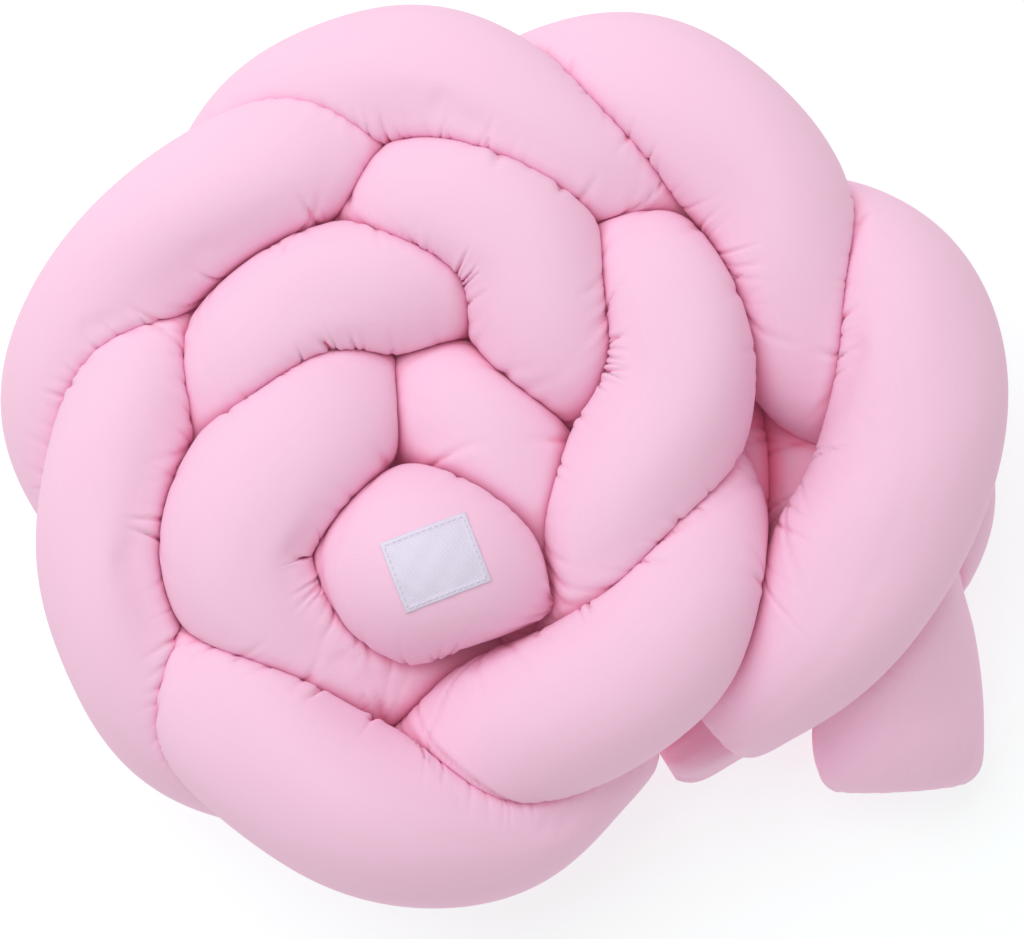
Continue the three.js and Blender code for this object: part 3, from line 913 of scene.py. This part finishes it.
def cotton_material():
    """Principled cloth: colour from slubs and painted shade by crease depth, a faint painted glow
    in the creases, and bump from the weave and a fine rumple, on the map named cloth."""
    material, tree, shader = new_material("pink_cotton", COTTON_LOOKS)
    cloth = new_node(tree, "ShaderNodeUVMap", uv_map="cloth")
    stretched = new_node(tree, "ShaderNodeMapping", Scale=SLUB_SCALE)
    slub = new_node(tree, "ShaderNodeTexNoise", Scale=1.0, Detail=2.0)
    tone = mix_node(tree, COTTON_COLOUR, SLUB_COLOUR)
    # Painted shade: the attribute hidden deepens the colour in creases and drives the painted
    # glow.
    depth = new_node(tree, "ShaderNodeAttribute", attribute_name="hidden")
    deep = new_node(tree, "ShaderNodeMapRange",
                    **{"From Min": CREASE_SHADE_RANGE[0], "From Max": CREASE_SHADE_RANGE[1]})
    shade_mix = mix_node(tree, None, CREASE_SHADE_COLOUR)
    glow = new_node(tree, "ShaderNodeMath", operation="MULTIPLY")
    glow.inputs[1].default_value = PAINTED_GLOW_IN_CREASES
    lengthwise = wave_node(tree, THREAD_PITCH, Distortion=0.3)
    crosswise = wave_node(tree, THREAD_PITCH, Distortion=0.3, bands_direction="Y")
    over_under = new_node(tree, "ShaderNodeMath", operation="MULTIPLY")
    weave = new_node(tree, "ShaderNodeBump", Strength=0.12, Distance=0.08 * MM)
    rumple = new_node(tree, "ShaderNodeTexNoise", Scale=RUMPLE_SCALE, Detail=3.0, Roughness=0.55)
    rumpled = new_node(tree, "ShaderNodeBump", Strength=0.35, Distance=1.0 * MM)
    wire(
        tree,
        (cloth, "UV", stretched, "Vector"),
        (stretched, "Vector", slub, "Vector"),
        (slub, "Fac", tone, "Factor"),
        (tone, MIX_RESULT, shade_mix, MIX_FIRST),
        (depth, "Fac", deep, "Value"),
        (deep, "Result", shade_mix, "Factor"),
        (deep, "Result", glow, 0),
        (glow, "Value", shader, "Emission Strength"),
        (shade_mix, MIX_RESULT, shader, "Base Color"),
        (cloth, "UV", lengthwise, "Vector"),
        (cloth, "UV", crosswise, "Vector"),
        (lengthwise, "Fac", over_under, 0),
        (crosswise, "Fac", over_under, 1),
        (cloth, "UV", rumple, "Vector"),
        (rumple, "Fac", rumpled, "Height"),
        (over_under, "Value", weave, "Height"),
        (rumpled, "Normal", weave, "Normal"),
        (weave, "Normal", shader, "Normal"),
    )
    return material


# %% Dress the strands
COTTON = cotton_material()
for route, skin, depth, cover_name, node_name in zip(
    ROUTES, skins, painted_shades, COVER_NAMES, NODE_NAMES
):
    points, along, angles = skin[:3]
    hubs = route_at(route, np.array([0.0, route["length"]]))[0]
    vertices = np.concatenate([points.reshape(-1, 3), hubs])
    mesh = mesh_from_arrays(cover_name, vertices, *tube_faces(len(along), SIDES))
    add_cloth_map(mesh, cover_map(mesh, along, angles * MEAN_RADIUS))
    # The painted shade of each point, read by the cotton material.
    hidden = mesh.attributes.new("hidden", "FLOAT", "POINT")
    hidden.data.foreach_set("value", np.append(depth, [0.0, 0.0]).astype(np.float32))
    cover = add_piece(cover_name, mesh, COTTON)
    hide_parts(node_name)
    print(cover_name, len(mesh.polygons), "faces", len(mesh.vertices), "points")

# %% [markdown]
# The woven label
#
# A small bare label is sewn flat on the closed end that lies in the middle. It is woven, its
# edges are folded under, so they are twice as thick as its field, and a row of short stitches
# holds it all round. It follows the stuffed end below it, but it bridges the small lumps, so its
# heights are a mean of the heights around, and they are read from the cover's own points.

# %% The label's place
LABEL_SIZE = np.array([49.0, 40.0]) * MM  # as seen from above
LABEL_MIDDLE = np.array([-38.3, -63.1]) * MM
LABEL_TURN = np.radians(21.0)
LABEL_LIFT = 0.5 * MM
LABEL_THICKNESS = 0.45 * MM
LABEL_HEM = 3 * MM
HEM_STEP = (0.8, 1.2)  # of LABEL_HEM, between which the second layer ends
HEM_THICKNESS = 0.4 * MM
LABEL_MEAN_WIDTH = 3.5 * MM
LABEL_REACH_DOWN = 0.75  # of the label's height; skin further below its top doesn't count
LABEL_WAVE = 0.25 * MM
LABEL_WAVES = (420, 360, 120)  # radians per metre: across, upwards, and the two together


def label_plan(across, upward):
    """Places in the plan for distances from the label's middle along its two sides."""
    turn = np.array([[np.cos(LABEL_TURN), np.sin(LABEL_TURN)],
                     [-np.sin(LABEL_TURN), np.cos(LABEL_TURN)]])
    return np.stack([across, upward], axis=-1) @ turn + LABEL_MIDDLE


def skin_height(plan):
    """The height of the labelled strand's upper skin at places in the plan: the mean of its
    points there, weighed by a bell of width LABEL_MEAN_WIDTH."""
    points = skins[GATHERED_STRAND][0].reshape(-1, 3)
    near = np.linalg.norm(points[:, :2] - LABEL_MIDDLE, axis=1) < LABEL_SIZE[0]
    near &= points[:, 2] > points[near, 2].max() - LABEL_SIZE[1] * LABEL_REACH_DOWN
    points = points[near]
    flat = plan.reshape(-1, 2)
    gap = ((flat[:, None] - points[None, :, :2]) ** 2).sum(-1)
    weight = np.exp(-gap / (2 * LABEL_MEAN_WIDTH**2))
    return ((weight @ points[:, 2]) / weight.sum(-1)).reshape(plan.shape[:-1])


def label_top(across, upward):
    """The label's upper face: the skin below, its lift and thickness, the hem's second layer
    with a soft inner step, and a slow wave."""
    plan = label_plan(across, upward)
    from_edge = np.minimum(LABEL_SIZE[0] / 2 - np.abs(across), LABEL_SIZE[1] / 2 - np.abs(upward))
    hem = 1 - smooth_step(*np.array(HEM_STEP) * LABEL_HEM, from_edge)
    sideways, upwards, together = LABEL_WAVES
    wave = np.sin(across * sideways + 1.0) * np.cos(upward * upwards + across * together)
    height = skin_height(plan) + LABEL_LIFT + LABEL_THICKNESS + hem * HEM_THICKNESS
    return np.concatenate([plan, (height + wave * LABEL_WAVE)[..., None]], axis=-1)


# %% The label's cloth
LABEL_CELLS = (70, 58)


def add_label():
    """A closed slab: the upper face's grid, and the same grid below it, joined by an upright
    wall all round."""
    columns, rows = LABEL_CELLS[0] + 1, LABEL_CELLS[1] + 1
    across = np.linspace(-0.5, 0.5, columns) * LABEL_SIZE[0]
    upward = np.linspace(-0.5, 0.5, rows) * LABEL_SIZE[1]
    across, upward = np.meshgrid(across, upward)
    top = label_top(across, upward)
    bottom = top - np.array([0.0, 0.0, LABEL_THICKNESS + HEM_THICKNESS])
    index = np.arange(rows * columns).reshape(rows, columns)
    face = np.stack([index[:-1, :-1], index[:-1, 1:], index[1:, 1:], index[1:, :-1]], axis=-1)
    face = face.reshape(-1, 4)
    rim = np.concatenate([index[0, :-1], index[:-1, -1], index[-1, :0:-1], index[:0:-1, 0]])
    following = np.roll(rim, -1)
    count = rows * columns
    wall = np.stack([rim, rim + count, following + count, following], axis=-1)
    quads = np.concatenate([face, face[:, ::-1] + count, wall])
    vertices = np.concatenate([top.reshape(-1, 3), bottom.reshape(-1, 3)])
    mesh = mesh_from_arrays("label_sheet", vertices, quads, np.empty((0, 3), int))
    flat = np.stack([across, upward], axis=-1).reshape(-1, 2)
    add_cloth_map(mesh, flat[corner_vertices(mesh) % count])
    print("label", len(mesh.polygons), "faces")
    return add_piece("label_sheet", mesh, label_material())


# %% The label's stitches
STITCH_FROM_EDGE = 2.1 * MM
STITCH_LENGTH = 2.4 * MM
STITCH_PITCH = 3.4 * MM
STITCH_START = 0.15  # of the pitch
STITCH_RADIUS = 0.3 * MM
STITCH_BOW = 1.6  # height of a stitch's bow, of its radius
STITCH_SINK = 0.7  # how far its ends lie below the label's face, of its radius
STITCH_RINGS = 6
STITCH_SIDES = 6


def add_stitches():
    """Short threads all round the label. Each is a tube that rises out of the cloth, bows and
    goes back in, so its ends are lower than its middle."""
    half = LABEL_SIZE / 2 - STITCH_FROM_EDGE
    sides = [((-1, -1), (1, -1)), ((1, -1), (1, 1)), ((1, 1), (-1, 1)), ((-1, 1), (-1, -1))]
    starts, runs = [], []
    for first, last in sides:
        first, last = np.array(first) * half, np.array(last) * half
        count = int(np.linalg.norm(last - first) / STITCH_PITCH)
        run = unit(last - first)
        room = np.linalg.norm(last - first) / count
        starts += [first + run * room * (number + STITCH_START) for number in range(count)]
        runs += [run] * count
    starts, runs = np.array(starts), np.array(runs)
    share = np.linspace(0.0, 1.0, STITCH_RINGS)
    plan = starts[:, None] + runs[:, None] * share[None, :, None] * STITCH_LENGTH
    centre = label_top(plan[..., 0], plan[..., 1])
    centre[..., 2] += STITCH_RADIUS * (STITCH_BOW * np.sin(np.pi * share)[None] - STITCH_SINK)
    turn = np.arange(STITCH_SIDES) * 2 * np.pi / STITCH_SIDES
    forward = unit(np.gradient(centre, axis=1))
    side = unit(np.cross(forward, [0.0, 0.0, 1.0]))
    up = np.cross(side, forward)
    ring = np.cos(turn)[:, None] * side[:, :, None] + np.sin(turn)[:, None] * up[:, :, None]
    tubes = (centre[:, :, None] + STITCH_RADIUS * ring).reshape(len(starts), -1, 3)
    vertices = np.concatenate([tubes, centre[:, [0, -1]]], axis=1)
    quads, fans = tube_faces(STITCH_RINGS, STITCH_SIDES)
    offset = (np.arange(len(starts)) * vertices.shape[1])[:, None, None]
    quads = (quads[None] + offset).reshape(-1, 4)
    fans = (fans[None] + offset).reshape(-1, 3)
    mesh = mesh_from_arrays("label_stitches", vertices.reshape(-1, 3), quads, fans)
    print(len(starts), "stitches")
    return add_piece("label_stitches", mesh, thread_material())


# %% Label materials
LABEL_RIB_PITCH = 0.8 * MM
LABEL_COLOUR = (0.86, 0.79, 0.91, 1.0)
LABEL_THREAD_COLOUR = (0.70, 0.66, 0.82, 1.0)
LABEL_LOOKS = {"Roughness": 0.55, "Specular IOR Level": 0.35, "Sheen Weight": 0.15}
THREAD_LOOKS = {"Roughness": 0.6}
GRAIN_SCALE = 900.0
TWIST_SCALE = 2500.0


def label_material():
    """White satin weave: fine slanted ribs with a slightly darker ground between them."""
    material, tree, shader = new_material("label_weave", LABEL_LOOKS)
    cloth = new_node(tree, "ShaderNodeUVMap", uv_map="cloth")
    ribs = wave_node(tree, LABEL_RIB_PITCH, Distortion=0.4, bands_direction="DIAGONAL")
    grain = new_node(tree, "ShaderNodeTexNoise", Scale=GRAIN_SCALE, Detail=2.0)
    mixed = new_node(tree, "ShaderNodeMath", operation="MULTIPLY")
    tone = mix_node(tree, LABEL_THREAD_COLOUR, LABEL_COLOUR)
    widen = new_node(tree, "ShaderNodeMapRange", **{"From Max": 0.5})
    bump = new_node(tree, "ShaderNodeBump", Strength=0.3, Distance=0.12 * MM)
    wire(
        tree,
        (cloth, "UV", ribs, "Vector"),
        (cloth, "UV", grain, "Vector"),
        (ribs, "Fac", mixed, 0),
        (grain, "Fac", mixed, 1),
        (mixed, "Value", widen, "Value"),
        (widen, "Result", tone, "Factor"),
        (tone, MIX_RESULT, shader, "Base Color"),
        (mixed, "Value", bump, "Height"),
        (bump, "Normal", shader, "Normal"),
    )
    return material


def thread_material():
    """Lilac-white thread with faint turns along it."""
    material, tree, shader = new_material("label_thread", THREAD_LOOKS)
    place = new_node(tree, "ShaderNodeTexCoord")
    twist = new_node(tree, "ShaderNodeTexNoise", Scale=TWIST_SCALE, Detail=1.0)
    tone = mix_node(tree, LABEL_THREAD_COLOUR, LABEL_COLOUR)
    wire(
        tree,
        (place, "Object", twist, "Vector"),
        (twist, "Fac", tone, "Factor"),
        (tone, MIX_RESULT, shader, "Base Color"),
    )
    return material


# %% Sew the label on
label = add_label()
stitches = add_stitches()
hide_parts("label")

# %% [markdown]
# The floor and the light
#
# The roll stands on a white sheet under a wide, even light that comes a little from the upper
# left of the picture, so the shadows are short, soft and fall to the lower right. The sheet is
# lit until it is almost blank, so part of its white is a glow of its own, and what is left of
# its colour takes back the pink that the roll throws on it.

# %% Floor
FLOOR_SIZE = 6.0
FLOOR_DROP = 0.2 * MM
FLOOR_GLOW = 0.52
FLOOR_LOOKS = {
    "Base Color": (0.57, 0.63, 0.62, 1.0),
    "Roughness": 0.9,
    "Emission Color": (1.0, 1.0, 1.0, 1.0),
    "Emission Strength": FLOOR_GLOW,
}


def add_floor():
    """One quad, a hair below the surface that the roll stands on."""
    x, y = np.array([(-1, -1), (1, -1), (1, 1), (-1, 1)]).T * FLOOR_SIZE / 2
    corners = np.stack([x, y, np.full(4, -FLOOR_DROP)], axis=-1)
    mesh = mesh_from_arrays("floor", corners, np.array([[0, 1, 2, 3]]), np.empty((0, 3), int))
    mesh.materials.append(new_material("white_paper", FLOOR_LOOKS)[0])
    add_object("floor", mesh)
    print("floor", FLOOR_SIZE, "m wide")


add_floor()

# %% World and light
WORLD_STRENGTH = 0.585
WORLD_COLOUR = (1.0, 0.985, 0.975, 1.0)
KEY_PLACE = (-0.5, 0.6, 1.5)
KEY_SIZE = 1.4
KEY_POWER = 13.7
KEY_COLOUR = (0.96, 0.975, 1.0)


def add_key_light():
    """A large square light that faces the roll."""
    data = bpy.data.lights.new("key", "AREA")
    data.size = KEY_SIZE
    data.energy = KEY_POWER
    data.color = KEY_COLOUR
    light = add_object("key", data)
    light.location = KEY_PLACE
    away = np.array(KEY_PLACE) - AIM
    slope = np.arctan2(np.hypot(away[0], away[1]), away[2])
    light.rotation_euler = (slope, 0.0, np.arctan2(away[0], -away[1]))
    print("key light", round(float(np.linalg.norm(away)), 2), "m away")


def light_world():
    """An even white surround."""
    world = bpy.data.worlds.new("studio")
    world.use_nodes = True
    background = world.node_tree.nodes["Background"]
    background.inputs["Color"].default_value = WORLD_COLOUR
    background.inputs["Strength"].default_value = WORLD_STRENGTH
    bpy.context.scene.world = world
    bpy.context.scene.view_settings.view_transform = "Standard"


add_key_light()
light_world()

# %% Update the scene
bpy.context.view_layer.update()
